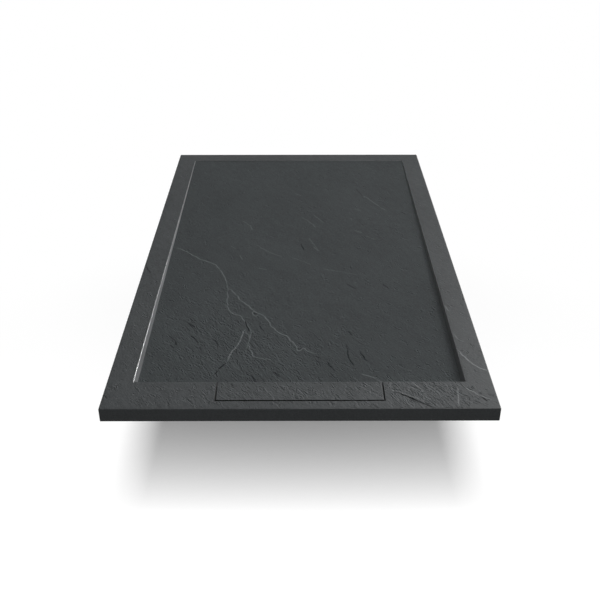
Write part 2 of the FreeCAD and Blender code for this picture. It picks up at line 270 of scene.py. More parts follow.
def start_shape_tree(name, inputs):
    """A Geometry Nodes tree for a mesh and some numbers, and the sockets that give it these."""
    tree = bpy.data.node_groups.new(name, "GeometryNodeTree")
    for in_out in ("OUTPUT", "INPUT"):
        tree.interface.new_socket("Geometry", in_out=in_out, socket_type="NodeSocketGeometry")
    for number in inputs:
        tree.interface.new_socket(number, in_out="INPUT", socket_type="NodeSocketFloat")
    return tree, add_node(tree, "NodeGroupInput").node.outputs


def start_material(name):
    """An empty node material and its tree."""
    material = bpy.data.materials.new(name)
    material.use_nodes = True
    material.node_tree.nodes.clear()
    return material, material.node_tree


def end_material(tree, height, surface):
    """Ends a material in its shader, with the surface's inputs and a bump of a height in metres."""
    bump = add_node(tree, "ShaderNodeBump", {"Strength": 1.0, "Distance": 1.0, "Height": height})
    shader = add_node(tree, "ShaderNodeBsdfPrincipled", {**surface, "Normal": bump})
    add_node(tree, "ShaderNodeOutputMaterial", {"Surface": shader})


# ---------------------------------------------------------------- stone

def grain_place(tree, place):
    """A place in metres as mm along the grain, mm across it and mm up."""
    node = partial(add_node, tree)
    turned = node(
        "ShaderNodeVectorRotate", {"Vector": place, "Angle": -GRAIN_ANGLE}, rotation_type="Z_AXIS"
    )
    return node(VECTOR_MATH, {0: turned, "Scale": 1 / MM}, operation="SCALE")


def grain_pattern(tree, grain, length, width, detail=2.0, roughness=0.5, shift=0.0):
    """Cloudy values round 0.5, whose shapes are about as long and wide as the mm given."""
    node = partial(add_node, tree)
    scale = (1 / length, 1 / width, 1 / width)
    vector = node(VECTOR_MATH, {0: grain, 1: scale, 2: (shift, 0, shift)}, operation="MULTIPLY_ADD")
    inputs = {"Vector": vector, "Scale": 1.0, "Detail": detail, "Roughness": roughness}
    return node("ShaderNodeTexNoise", inputs)


def split_layers(tree, pattern, levels, patches, sparse):
    """Ledges where layers have split off: each is steep on one side and slopes on the other.

    Sparse is from where to where in the patches' values the ledges begin to show.
    """
    node = partial(add_node, tree)
    steep = (0.35, 0.65)
    level = node(MATH, {0: pattern, 1: levels}, operation="MULTIPLY")
    within = node(MATH, {0: level}, operation="FRACT")
    rise = node(
        MAP_RANGE,
        {"Value": within, "From Min": steep[0], "From Max": steep[1]},
        interpolation_type="SMOOTHSTEP",
    )
    ledge = node(MATH, {0: rise, 1: within}, operation="SUBTRACT")
    here = node(
        MAP_RANGE,
        {"Value": patches, "From Min": sparse[0], "From Max": sparse[1]},
        interpolation_type="SMOOTHSTEP",
    )
    return node(MATH, {0: ledge, 1: here}, operation="MULTIPLY")


def terrace_height(tree, grain, seed, zone):
    """Broad ledges and soft dents from 0 to 1, stronger where the stone is more riven."""
    node = partial(add_node, tree)
    layers = grain_pattern(tree, grain, 150, 70, detail=4, shift=seed)
    patches = grain_pattern(tree, grain, 200, 120, shift=seed + 3)
    ledges = split_layers(tree, layers, 6, patches, sparse=(0.42, 0.6))
    dents = grain_pattern(tree, grain, 30, 17, detail=3, shift=seed + 7)
    height = node(MATH, {0: dents, 1: 0.8, 2: ledges}, operation="MULTIPLY_ADD")
    return node(MATH, {0: height, 1: zone}, operation="MULTIPLY")


def chip_height(tree, grain, seed, zone):
    """Small chips from 0 to 1: in clusters where the stone is riven, and single ones elsewhere."""
    node = partial(add_node, tree)
    patches = grain_pattern(tree, grain, 22, 16, shift=seed + 9)
    patches = node(MATH, {0: zone, 1: 0.2, 2: patches}, operation="MULTIPLY_ADD")
    chips = grain_pattern(tree, grain, 26, 12, detail=2.5, shift=seed + 5)
    return split_layers(tree, chips, 4, patches, sparse=(0.65, 0.7))


def streak_height(tree, grain, seed, zone):
    """Fine short streaks along the grain, from 0 to 1, stronger where the stone is riven."""
    node = partial(add_node, tree)
    streaks = grain_pattern(tree, grain, 20, 4.5, roughness=0.6, shift=seed + 23)
    return node(MATH, {0: streaks, 1: zone}, operation="MULTIPLY")


def make_stone(name, base, roughness, specular, riven, relief, colours):
    """Slate-effect cast stone: ground mineral in polyester resin under a pigmented gel coat.

    Cast against a riven slate mould, so it has the mould's ledges, chips and fracture lines, and a
    dull, slightly uneven sheen. Fine grit in the gel coat makes it grip.
    """
    material, tree = start_material(name)
    node = partial(add_node, tree)
    grain = grain_place(tree, node("ShaderNodeTexCoord", output="Object"))
    seed = relief.seed

    # cloudy pigment about 150 mm across, mottling about 25 mm, and grit: the real grit is 0.3 mm,
    # drawn 4 mm wide because it would not show
    cloud = grain_pattern(tree, grain, 170, 120, detail=3, shift=seed + 11)
    mottle = grain_pattern(tree, grain, 34, 14, detail=4, roughness=0.6, shift=seed + 13)
    grit = grain_pattern(tree, grain, 4.5, 3.2, shift=seed + 17)
    tone = 1.0
    for pattern, strength in ((cloud, 0.25), (mottle, 0.35), (grit, 0.6)):
        centred = node(MATH, {0: pattern, 1: 0.5}, operation="SUBTRACT")
        tone = node(MATH, {0: centred, 1: strength, 2: tone}, operation="MULTIPLY_ADD")
    # split faces are a little paler than the skin
    zone = node("ShaderNodeAttribute", attribute_name="riven", output="Fac")
    tone = node(MATH, {0: zone, 1: 0.1 * riven, 2: tone}, operation="MULTIPLY_ADD")
    stone = node(VECTOR_MATH, {0: tuple(base), "Scale": tone}, operation="SCALE")
    # painted light: the fracture lines are tinted lighter as a painted highlight on their raised step,
    # and the cracks darker as a painted shadow in their grooves
    for line, tint in (("vein_painted_highlight", colours.vein_highlight), ("crack_painted_shadow", colours.crack_shadow)):
        share = node("ShaderNodeAttribute", attribute_name=line, output="Fac")
        stone = node("ShaderNodeMix", {0: share, 6: stone, 7: (*tint, 1)}, output=2, data_type="RGBA")
    uneven = node(MATH, {0: mottle, 1: 0.2, 2: roughness - 0.1}, operation="MULTIPLY_ADD")

    # the mesh holds the broad shapes, and the bump sharpens them and adds the chips and the grit
    height = node(MATH, {0: grit, 1: relief.grit}, operation="MULTIPLY")
    for shape, strength in (
        (terrace_height(tree, grain, seed, zone), relief.terraces * riven),
        (chip_height(tree, grain, seed, zone), relief.chips * riven),
        (streak_height(tree, grain, seed, zone), relief.streaks * riven),
    ):
        height = node(MATH, {0: shape, 1: strength, 2: height}, operation="MULTIPLY_ADD")
    surface = {"Base Color": stone, "Roughness": uneven, "IOR": 1.5, "Specular IOR Level": specular}
    end_material(tree, height, surface)
    return material


def stone_finishes(scene):
    """The finishes of the one casting, made once and then shared by the slab and the cover."""
    colours, relief = scene.stone_colours, scene.stone_relief
    # each as its material's name, colour, roughness, specular level, and how riven it is
    finishes = {
        # as it leaves the mould: flat, dull and a little darker; also laid on the worn top edge, where
        # it paints a thin dark line of shade along the outline
        "side": ("slate_cast_stone_raw_side", colours.side, 0.8, 0.1, 0.0),
        # sawn through to the dark filler, near black, so that the gap round the cover reads as a black
        # line: painted shade
        "core": ("slate_cast_stone_sawn_core", colours.core, 0.9, 0.1, 0.0),
        # gel coat left satin: a soft even grey that the grit breaks up
        "rim": ("slate_cast_stone_riven_satin", colours.rim, 0.48, 0.005, 1.0),
        # moulded smooth, so the bevel mirrors the light from behind as a bright line
        "wall": ("slate_cast_stone_moulded_smooth", colours.rim, 0.36, 0.3, 0.2),
        # rubbed down over the bevel's top edge: the thinnest and sharpest gloss
        "arris": ("slate_cast_stone_rubbed_edge", colours.rim, 0.3, 0.8, 0.2),
        # gel coat left matt for grip: no sheen from any side
        "floor": ("slate_cast_stone_riven_matt", colours.floor, 0.9, 0.008, 1.0),
    }
    return {
        part: bpy.data.materials.get(finish[0]) or make_stone(*finish, relief, colours)
        for part, finish in finishes.items()
    }


# Fracture lines of the slate, each as its strength, about from 0 to 1, its width in mm, and the few
# places (x, y) in mm that a smooth curve passes through.
LIGHT_VEINS = (
    (0.5, 1.2, (
        (-332, 18), (-312, 6), (-275, -34), (-255, -51), (-224, -73), (-209, -95), (-194, -132),
        (-183, -169), (-178, -204),
    )),
    (0.45, 1.1, (
        (-178, -204), (-176, -238), (-173, -281), (-161, -317), (-138, -332), (-131, -349),
        (-119, -375), (-111, -398), (-112, -425), (-115, -451),
    )),
    (0.7, 1.2, ((-125, -389), (-129, -407), (-138, -453), (-149, -477), (-153, -496), (-157, -516))),
    (0.45, 1.1, ((-116, -445), (-105, -485), (-95, -502), (-60, -512))),
    (0.35, 1.0, ((-116, -445), (-117, -465), (-119, -483))),
    (0.45, 1.0, ((-125, -392), (-121, -404), (-116, -410), (-114, -425))),
    (0.6, 1.2, (
        (-176, -204), (-168, -209), (-154, -233), (-143, -257), (-122, -286), (-107, -309), (-84, -331),
        (-69, -362), (-55, -392), (-41, -409), (-29, -417), (-18, -438), (-6, -460), (-4, -475),
        (2, -475), (7, -467), (19, -479), (36, -490),
    )),
    (0.45, 1.2, ((-107, -309), (-112, -317), (-105, -331), (-98, -327))),
    (0.45, 1.4, ((132, -565), (152, -575), (175, -596))),
    (0.25, 1.2, ((-115, 35), (-89, 2), (-60, -24), (-46, -34))),
    (0.2, 1.2, ((-18, -40), (5, -55), (31, -79))),
    (0.25, 1.2, ((39, 22), (52, 1))),
    (0.2, 1.2, ((-106, -96), (-83, -105))),
    (0.25, 1.2, ((-185, 29), (-170, 11))),
    (0.25, 1.2, ((-158, -24), (-150, -48))),
    (0.2, 1.2, ((-210, -504), (-197, -510))),
    (0.2, 1.2, ((-156, -513), (-142, -533), (-128, -548))),
    (0.18, 1.2, ((64, -101), (107, -117), (150, -133))),
    (0.3, 1.4, ((199, 362), (233, 296), (257, 254))),
    (0.2, 1.4, ((163, 268), (183, 254))),
    (0.2, 1.4, ((-16, 385), (6, 363))),
    (0.25, 1.4, ((11, 206), (34, 173), (48, 140))),
    (0.2, 1.4, ((43, 227), (71, 173))),
    (0.2, 1.4, ((27, 77), (53, 0))),
    (0.25, 1.4, ((155, 127), (176, 108))),
    (0.2, 1.4, ((186, 89), (212, 65))),
    (0.25, 1.4, ((-162, 187), (-138, 154), (-131, 128))),
    (0.6, 1.5, ((346, -298), (353, -326))),
    (0.4, 1.5, ((347, -418), (355, -447), (367, -457))),
    (1.0, 1.6, ((346, -491), (365, -534), (383, -560), (399, -569))),
    (0.5, 1.4, ((233, -610), (252, -642))),
    (0.6, 1.4, ((323, -632), (321, -660), (318, -689))),
    (0.7, 1.4, ((339, -631), (353, -643), (368, -658), (387, -670))),
    (0.6, 1.2, ((190, -638), (214, -652), (240, -669))),
)
DARK_CRACKS = (
    (0.8, 1.4, ((111, -397), (119, -414))),
    (0.8, 1.4, ((104, -454), (107, -478), (106, -502), (117, -536))),
    (0.8, 1.4, ((133, -478), (141, -505), (156, -528))),
    (0.8, 1.4, ((59, -520), (75, -554))),
    (0.5, 1.4, ((120, -180), (141, -205))),
    (0.5, 1.4, ((210, -180), (219, -200))),
    (0.7, 1.6, ((5, 40), (9, 20), (13, 5))),
    (0.35, 1.8, ((177, 416), (193, 362))),
    (0.9, 1.4, ((194, -644), (207, -651), (231, -671), (248, -683), (262, -694))),
    (1.2, 1.5, ((205, -651), (218, -660), (231, -671), (246, -681))),
    (1.1, 1.5, ((367, -663), (376, -675))),
    (1.0, 1.3, ((-127, -354), (-121, -377), (-116, -396))),
    (0.7, 1.2, ((-5, -469), (0, -471), (4, -466))),
    (0.8, 1.3, ((-109, -318), (-104, -322), (-100, -320))),
    (1.3, 1.5, ((-163, -527), (-168, -537), (-173, -545))),
    (1.1, 1.4, ((-176, -555), (-182, -566))),
    (0.7, 1.3, ((-257, -363), (-250, -370), (-243, -379))),
    (0.7, 1.3, ((-247, -416), (-240, -424), (-232, -436))),
    (0.6, 1.2, ((-192, -431), (-186, -447), (-182, -460))),
    (0.7, 1.3, ((-54, -557), (-48, -565), (-42, -575))),
    (0.7, 1.3, ((-289, -451), (-285, -457), (-280, -466))),
    (0.6, 1.3, ((-93, -375), (-87, -386), (-82, -398))),
    (1.0, 1.6, ((-279, -444), (-275, -454))),
    (0.8, 1.3, ((-104, -567), (-96, -582), (-90, -594))),
    (0.5, 1.2, ((-297, -416), (-283, -435), (-273, -456))),
    (0.4, 1.2, ((-260, -358), (-242, -391), (-233, -413))),
    (0.5, 1.2, ((-245, -416), (-230, -444), (-214, -487))),
    (0.5, 1.2, ((-59, -553), (-45, -573))),
    (0.6, 1.6, ((-399, -90), (-380, -136))),
)

# between the points of a line's curve, in mm
LINE_SPACING = 4
# a fracture isn't a drawn curve: how far it wanders from one, and over what length, in mm
WANDER = 2.2
WANDER_LENGTH = 14
# the same noise, read this far away, gives the other of its two directions
ELSEWHERE = Vector((40, 70, 0))
# its strength at both ends, and how steeply that rises to all of it along the line
END_SHARE = 0.35
END_RISE = 8
# its strength comes and goes over this length in mm, and it is broken where that falls below 0
PATCH_LENGTH = 16
# the stone steps up across it within one length in mm, and the step dies out over another
STEP_EDGE = 1.2
STEP_REACH = 11
LINE_MARGIN = 40
# a dark crack's step and its groove, as shares of a light vein's step
CRACK_STEP = 0.6
CRACK_GROOVE = 1.1

# How riven the stone is everywhere, and where it is most: centre (x, y) and reach (x, y) in mm,
# and strength.
LEAST_RIVEN = 0.2
RIVEN_PATCHES = (
    (-210, -430, 150, 210, 0.9),
    (-60, -500, 130, 130, 1.0),
    (100, -460, 90, 110, 0.6),
    (-40, -655, 330, 60, 0.8),
    (250, -650, 100, 70, 1.4),
)


def smooth_path(places):
    """Points on a curve through the places (Catmull-Rom), which then wanders a little."""
    knots = [Vector((*place, 0)) for place in places]
    knots = [2 * knots[0] - knots[1], *knots, 2 * knots[-1] - knots[-2]]
    points = []
    for before, start, stop, after in zip(knots, knots[1:], knots[2:], knots[3:]):
        count = max(2, round((stop - start).length / LINE_SPACING))
        for step in range(count):
            t = step / count
            straight = 2 * start + (stop - before) * t
            bend = (2 * before - 5 * start + 4 * stop - after) * t**2
            twist = (3 * start - before - 3 * stop + after) * t**3
            points.append(0.5 * (straight + bend + twist))
    points.append(knots[-2])
    wandering = []
    for point in points:
        place = point / WANDER_LENGTH
        across, along = noise.noise(place), noise.noise(place + ELSEWHERE)
        wandering.append((point.x + WANDER * across, point.y + WANDER * along))
    return np.array(wandering)


def distance_to_path(x, y, path):
    """Distance of each point to a path, less than 0 on its right, and the share along the path."""
    nearest = np.full(x.shape, np.inf)
    signed = np.zeros(x.shape)
    along = np.zeros(x.shape)
    total = len(path) - 1
    for number, (start, stop) in enumerate(zip(path[:-1], path[1:])):
        step = stop - start
        share = ((x - start[0]) * step[0] + (y - start[1]) * step[1]) / (step @ step)
        share = np.clip(share, 0, 1)
        off_x = x - start[0] - share * step[0]
        off_y = y - start[1] - share * step[1]
        away = np.hypot(off_x, off_y)
        closer = away < nearest
        side = np.sign(step[0] * (y - start[1]) - step[1] * (x - start[0]))
        nearest = np.where(closer, away, nearest)
        signed = np.where(closer, away * side, signed)
        along = np.where(closer, (number + share) / total, along)
    return signed, along


def vein_values(x, y):
    """At points in mm: the fracture lines' painted highlight, the cracks' painted shadow, and how high
    they make the stone.
    """
    light = np.zeros(x.shape)
    dark = np.zeros(x.shape)
    height = np.zeros(x.shape)
    for lines, is_light in ((LIGHT_VEINS, True), (DARK_CRACKS, False)):
        for strength, width, places in lines:
            path = smooth_path(places)
            low, high = path.min(0) - LINE_MARGIN, path.max(0) + LINE_MARGIN
            near = (x > low[0]) & (x < high[0]) & (y > low[1]) & (y < high[1])
            signed, along = distance_to_path(x[near], y[near], path)
            away = np.abs(signed)
            # thin towards both ends, and uneven or broken here and there
            taper = np.clip(np.minimum(along, 1 - along) * END_RISE + END_SHARE, 0, 1)
            bumps = (noise.noise(Vector((*point, 0)) / PATCH_LENGTH) for point in path)
            uneven = [0.9 + 0.9 * bump for bump in bumps]
            taper *= np.clip(np.interp(along * (len(path) - 1), range(len(path)), uneven), 0, 1)
            core = strength * taper * np.exp(-((away / width) ** 2))
            step = strength * taper * np.tanh(signed / STEP_EDGE) * np.exp(-away / STEP_REACH)
            # the light tint is a painted highlight on the line's step, and the dark tint is a painted
            # shadow in the crack's groove
            if is_light:
                light[near] = np.maximum(light[near], core)
                height[near] -= step
            else:
                dark[near] = np.maximum(dark[near], core)
                height[near] += CRACK_STEP * step - CRACK_GROOVE * core
    return light, dark, height


def riven_zone(x, y):
    """How riven the stone is at points in mm: a little everywhere, and more in some patches."""
    zone = np.full(x.shape, LEAST_RIVEN)
    for centre_x, centre_y, reach_x, reach_y, strength in RIVEN_PATCHES:
        away = ((x - centre_x) / reach_x) ** 2 + ((y - centre_y) / reach_y) ** 2
        zone = np.maximum(zone, LEAST_RIVEN + strength * np.exp(-away))
    return zone


def set_attribute(mesh, name, values, domain="POINT", kind="FLOAT"):
    """Stores a value at each point or face of a mesh."""
    layer = mesh.attributes.get(name) or mesh.attributes.new(name, kind, domain)
    layer.data.foreach_set("value", values)


def mark_stone(mesh, mask):
    """Stores what the relief and the stone's colours need at each point of a mesh, with the painted
    highlight and shadow of the fracture lines.
    """
    places = point_places(mesh) / MM
    light, dark, height = vein_values(places[:, 0], places[:, 1])
    zone = riven_zone(places[:, 0], places[:, 1])
    for name, values in (
        ("relief", mask),
        ("riven", zone * mask),
        ("vein_painted_highlight", light * mask),
        ("crack_painted_shadow", dark * mask),
        ("vein_height", height * mask),
    ):
        set_attribute(mesh, name, values)


def point_places(mesh):
    """The places of a mesh's points, one row each."""
    places = np.zeros(len(mesh.vertices) * 3)
    mesh.vertices.foreach_get("co", places)
    return places.reshape(-1, 3)


def relief_tree(relief, finishes):
    """Geometry Nodes that raise marked stone into its riven relief and give it its finishes."""
    tree, given = start_shape_tree("riven_relief", ("Undulation", "Terraces", "Veins"))
    node = partial(add_node, tree)
    mask, zone, line_height = (
        node("GeometryNodeInputNamedAttribute", {"Name": name}, output="Attribute")
        for name in ("relief", "riven", "vein_height")
    )
    region = node(
        "GeometryNodeInputNamedAttribute", {"Name": "region"}, output="Attribute", data_type="INT"
    )

    grain = grain_place(tree, node("GeometryNodeInputPosition"))
    waves = grain_pattern(tree, grain, 330, 190, detail=1, shift=relief.seed + 21)
    waves = node(MATH, {0: waves, 1: 0.5}, operation="SUBTRACT")
    height = node(MATH, {0: waves, 1: given["Undulation"]}, operation="MULTIPLY")
    height = node(MATH, {0: height, 1: mask}, operation="MULTIPLY")
    for part, strength in (
        (terrace_height(tree, grain, relief.seed, zone), given["Terraces"]),
        (line_height, given["Veins"]),
    ):
        height = node(MATH, {0: part, 1: strength, 2: height}, operation="MULTIPLY_ADD")
    shape = node(
        "GeometryNodeSetPosition",
        {"Geometry": given["Geometry"], "Offset": node("ShaderNodeCombineXYZ", {2: height})},
    )
    shape = node("GeometryNodeRealizeInstances", {"Geometry": shape})
    for number, part in enumerate(REGIONS):
        chosen = node("FunctionNodeCompare", {2: region, 3: number}, data_type="INT", operation="EQUAL")
        shape = node(
            "GeometryNodeSetMaterial",
            {"Geometry": shape, "Selection": chosen, "Material": finishes[part]},
        )
    node("NodeGroupOutput", {"Geometry": shape})
    return tree


def carve_relief(piece, scene):
    """Runs the relief on a marked mesh, and keeps the result as the piece's plain mesh."""
    relief = scene.stone_relief
    tree = bpy.data.node_groups.get("riven_relief") or relief_tree(relief, stone_finishes(scene))
    heights = {"Undulation": relief.undulation, "Terraces": relief.terraces, "Veins": relief.veins}
    run_shape_tree(piece, tree, heights)


def run_shape_tree(piece, tree, values):
    """Runs a tree on a piece with values for its inputs, and keeps the result as its mesh."""
    modifier = piece.modifiers.new(tree.name, "NODES")
    modifier.node_group = tree
    for item in tree.interface.items_tree:
        if item.name in values:
            modifier[item.identifier] = values[item.name]
    make_plain(piece)


def make_plain(piece):
    """Replaces a piece's mesh by its evaluated mesh and removes its modifiers."""
    bpy.context.view_layer.update()
    evaluated = piece.evaluated_get(bpy.context.evaluated_depsgraph_get())
    mesh = bpy.data.meshes.new_from_object(evaluated)
    piece.modifiers.clear()
    old = piece.data
    piece.data = mesh
    bpy.data.meshes.remove(old)
    mesh.name = piece.name


def new_piece(name, mesh):
    """An object for a mesh, in the scene."""
    piece = bpy.data.objects.new(name, mesh)
    bpy.context.scene.collection.objects.link(piece)
    return piece


def shade(mesh, degrees):
    """Smooth shading, with edges kept sharp where faces meet at more than an angle."""
    mesh.polygons.foreach_set("use_smooth", [True] * len(mesh.polygons))
    mesh.set_sharp_from_angle(angle=math.radians(degrees))


# ---------------------------------------------------------------- closed shapes


def closed_mesh(name, points, faces):
    """A mesh from its points and faces."""
    mesh = bpy.data.meshes.new(name)
    mesh.from_pydata(points, [], faces)
    mesh.validate()
    return mesh


def graded(start, stop, first, last):
    """Places from start to stop whose spacing changes evenly from first to last."""
    count = max(1, round(2 * abs(stop - start) / (first + last)))
    share = np.linspace(0, 1, count + 1)
    return start + (stop - start) * share * (2 * first + (last - first) * share) / (first + last)


def rounded_insets(radius):
    """Insets from the side at which a rounded edge has its points, from the flat to the side."""
    turn = np.linspace(math.pi / 2, 0, 5)
    return radius * (1 - np.cos(turn))


def round_corners(x, y, half_x, half_y, radius):
    """Moves the points in each corner square onto rings of its quarter circle."""
    u = np.clip((np.abs(x) - (half_x - radius)) / radius, 0, None)
    v = np.clip((np.abs(y) - (half_y - radius)) / radius, 0, None)
    ring = np.maximum(u, v)
    safe = np.where(ring > 0, ring, 1)
    turn = np.where(u >= v, v / safe * math.pi / 4, math.pi / 2 - u / safe * math.pi / 4)
    corner = (u > 0) & (v > 0)
    new_x = np.where(corner, half_x - radius + radius * ring * np.cos(turn), np.abs(x))
    new_y = np.where(corner, half_y - radius + radius * ring * np.sin(turn), np.abs(y))
    inset = np.where(corner, radius * (1 - ring), np.minimum(half_x - np.abs(x), half_y - np.abs(y)))
    return np.sign(x) * new_x, np.sign(y) * new_y, inset


def smooth_minimum(first, second, reach):
    """The lower of two heights, with the corner between them rounded."""
    share = np.clip(0.5 + 0.5 * (second - first) / reach, 0, 1)
    return second + (first - second) * share - reach * share * (1 - share)


def smooth_maximum(first, second, reach):
    """The higher of two heights, with the corner between them rounded."""
    return -smooth_minimum(-first, -second, reach)


def grid_block(name, x, y, z, centre, foot):
    """A closed block: a grid on top, walls below its edge, and one face underneath.

    Foot holds (inset, height) for each ring of the walls, from the top down.
    """
    rows, columns = x.shape
    points = [np.stack((x, y, z), axis=-1).reshape(-1, 3)]
    number = np.arange(rows * columns).reshape(rows, columns)
    quads = np.stack((number[:-1, :-1], number[:-1, 1:], number[1:, 1:], number[1:, :-1]), axis=-1)
    faces = quads.reshape(-1, 4).tolist()
    edge = np.concatenate((number[0, :-1], number[:-1, -1], number[-1, :0:-1], number[:0:-1, 0]))
    outline = points[0][edge]
    reach = np.abs(outline[:, :2] - centre).max(0)
    above = edge
    for inset, height in foot:
        ring = outline.copy()
        ring[:, :2] = centre + (ring[:, :2] - centre) * (1 - inset / reach)
        ring[:, 2] = height
        below = np.arange(len(edge)) + sum(len(part) for part in points)
        points.append(ring)
        quads = np.stack((above, below, np.roll(below, -1), np.roll(above, -1)), axis=-1)
        faces += quads.tolist()
        above = below
    faces.append(above[::-1].tolist())
    return closed_mesh(name, np.concatenate(points).tolist(), faces)


def refine_near_veins(mesh):
    """Splits the faces of a grid near its fracture lines twice, to hold their thin shapes."""
    sculpt = bmesh.new()
    sculpt.from_mesh(mesh)
    shortest = 1.2 * MM
    # how far from a line, in mm, each round reaches
    for reach in (7, 3.2):
        places = np.array([point.co[:2] for point in sculpt.verts]) / MM
        close = np.zeros(len(places), bool)
        for _, _, route in LIGHT_VEINS + DARK_CRACKS:
            path = smooth_path(route)
            low, high = path.min(0) - reach, path.max(0) + reach
            near = np.all((places > low) & (places < high), axis=1)
            signed, _ = distance_to_path(places[near, 0], places[near, 1], path)
            close[near] |= np.abs(signed) < reach
        sculpt.verts.ensure_lookup_table()
        edges = [
            edge
            for edge in sculpt.edges
            if close[edge.verts[0].index]
            and close[edge.verts[1].index]
            and min(edge.verts[0].co.z, edge.verts[1].co.z) > TOP_ONLY
            and edge.calc_length() > shortest
        ]
        bmesh.ops.subdivide_edges(sculpt, edges=edges, cuts=1, use_grid_fill=True)
        sculpt.verts.index_update()
    sculpt.to_mesh(mesh)
    sculpt.free()


# ---------------------------------------------------------------- slab


def recess_profile(sizes, x, y):
    """Height of the rim, the walls and the falling floor, how far inside the outline a point lies,
    and how wide the wall beside it is."""
    lean = math.tan(sizes.wall_angle)
    recess_far = HALF_LENGTH - sizes.far_rim
    near_foot = RECESS_NEAR + sizes.depth_near * lean
    fall = (sizes.depth_near - sizes.depth_far) / (recess_far - near_foot)
    floor = RIM_TOP - sizes.depth_near + fall * (y - near_foot)
    floor = np.clip(floor, RIM_TOP - sizes.depth_near, RIM_TOP - sizes.depth_far)
    inside = np.minimum(HALF_WIDTH - sizes.side_rim - np.abs(x), recess_far - y)
    inside = np.minimum(inside, y - RECESS_NEAR)
    wall = RIM_TOP - inside / lean
    depth = RIM_TOP - floor
    height = smooth_minimum(wall, RIM_TOP, ARRIS * depth)
    height = smooth_maximum(height, floor, FILLET * depth)
    return height, inside, depth * lean


def slab_grid(sizes, spacing):
    """The slab's top as rows and columns of points, closer together near the drain."""
    lean = math.tan(sizes.wall_angle)
    near_run, far_run = sizes.depth_near * lean, sizes.depth_far * lean
    side = HALF_WIDTH - sizes.side_rim
    recess_far = HALF_LENGTH - sizes.far_rim
    corner = sizes.corner_radius
    rim_insets = np.concatenate(([corner], rounded_insets(sizes.edge_radius)))
    floor_count = round(side / spacing)
    rim = graded(side - WALL_SHARES[0] * near_run, HALF_WIDTH - corner, spacing, spacing)

    def half_columns(run):
        floor = np.linspace(0, side - WALL_SHARES[-1] * run, floor_count)
        wall = side - WALL_SHARES[::-1] * run
        return np.concatenate((floor[:-1], wall, rim[1:-1], HALF_WIDTH - rim_insets))

    near, far = half_columns(near_run), half_columns(far_run)
    near = np.concatenate((-near[:0:-1], near))
    far = np.concatenate((-far[:0:-1], far))

    near_wall = RECESS_NEAR + WALL_SHARES * near_run
    far_wall = recess_far - WALL_SHARES[::-1] * far_run
    near_rim, floor_start, floor_stop, far_rim = (share * spacing for share in ROW_SPACINGS)
    rows = np.concatenate(
        (
            -HALF_LENGTH + rim_insets[::-1],
            graded(corner - HALF_LENGTH, near_wall[0], near_rim, near_rim)[1:-1],
            near_wall,
            graded(near_wall[-1], far_wall[0], floor_start, floor_stop)[1:-1],
            far_wall,
            graded(far_wall[-1], HALF_LENGTH - corner, far_rim, far_rim)[1:-1],
            HALF_LENGTH - rim_insets,
        )
    )
    share = np.clip((rows - near_wall[0]) / (recess_far - near_wall[0]), 0, 1)[:, None]
    x = near + (far - near) * share
    y = np.repeat(rows[:, None], len(near), axis=1)
    return x, y


def cylinder(radius, low, high):
    """A closed upright cylinder on the waste's axis."""
    mesh = bpy.data.meshes.new("cutter")
    shape = bmesh.new()
    ends = {"radius1": radius, "radius2": radius, "cap_ends": True}
    bmesh.ops.create_cone(shape, segments=ROUND_SIDES, depth=high - low, **ends)
    bmesh.ops.translate(shape, vec=(0, WASTE_Y, (low + high) / 2), verts=shape.verts)
    shape.to_mesh(mesh)
    shape.free()
    return mesh


def box(low, high, flare_from=None):
    """A closed block between two corners, which may widen all round by 45 degrees from a height."""
    rings = [(low[2], 0), (high[2], 0)]
    if flare_from is not None:
        rings = [(low[2], 0), (flare_from, 0), (high[2], high[2] - flare_from)]
    points = [
        (x + wider * (1 if x > low[0] else -1), y + wider * (1 if y > low[1] else -1), height)
        for height, wider in rings
        for x, y in ((low[0], low[1]), (high[0], low[1]), (high[0], high[1]), (low[0], high[1]))
    ]
    sides = [
        (ring + corner, ring + (corner + 1) % 4, ring + 4 + (corner + 1) % 4, ring + 4 + corner)
        for ring in range(0, len(points) - 4, 4)
        for corner in range(4)
    ]
    last = len(points)
    faces = [(3, 2, 1, 0), *sides, (last - 4, last - 3, last - 2, last - 1)]
    return closed_mesh("block", points, faces)


def cut(piece, tool, operation="DIFFERENCE"):
    """Cuts a piece with a tool's mesh, or joins them, and takes the tool away."""
    modifier = piece.modifiers.new(operation.lower(), "BOOLEAN")
    modifier.operation = operation
    modifier.solver = "EXACT"
    modifier.object = tool
    make_plain(piece)
    bpy.data.objects.remove(tool)


def opening_tool(sizes, finishes):
    """What is taken out of the slab: the cover's opening, the sump and the seats of the waste.

    The opening's upright faces are sawn and take the near-black core, painted shade for the gap round
    the cover, and the rest is cast.
    """
    above = RIM_TOP + 10 * MM
    overlap = 1 * MM
    lean = math.tan(sizes.wall_angle)
    half = COVER_HIGH.x + sizes.cover_gap
    near = COVER_LOW.y - sizes.cover_gap
    far = RECESS_NEAR + sizes.depth_near * lean
    flange = (FLANGE_HIGH.x - FLANGE_LOW.x) / 2 + sizes.seat_clearance
    tail = TAIL_RADIUS + sizes.hole_clearance
    spotface = (WASHER_HIGH.x - WASHER_LOW.x) / 2 + sizes.spotface_clearance
    arris = RIM_TOP - sizes.opening_arris
    tool = new_piece("opening_tool", box((-half, near, PADS_LOW.z), (half, far, above), arris))
    for part in ("side", "core"):
        tool.data.materials.append(finishes[part])
    # upright faces take the near-black core: painted shade in the gap round the cover
    for face in tool.data.polygons:
        upright = abs(face.normal.z) < 0.9
        face.material_index = 1 if upright else 0
    for mesh in (
        box(
            (sizes.ledge_width - half, near + sizes.near_ledge, SUMP_FLOOR),
            (half - sizes.ledge_width, RECESS_NEAR + sizes.sump_reach, above),
        ),
        cylinder(flange, GASKET_LOW.z, SUMP_FLOOR + overlap),
        cylinder(tail, WASHER_HIGH.z - overlap, GASKET_LOW.z + overlap),
        cylinder(spotface, -overlap, WASHER_HIGH.z),
    ):
        cut(tool, new_piece("cutter", mesh), "UNION")
    return tool


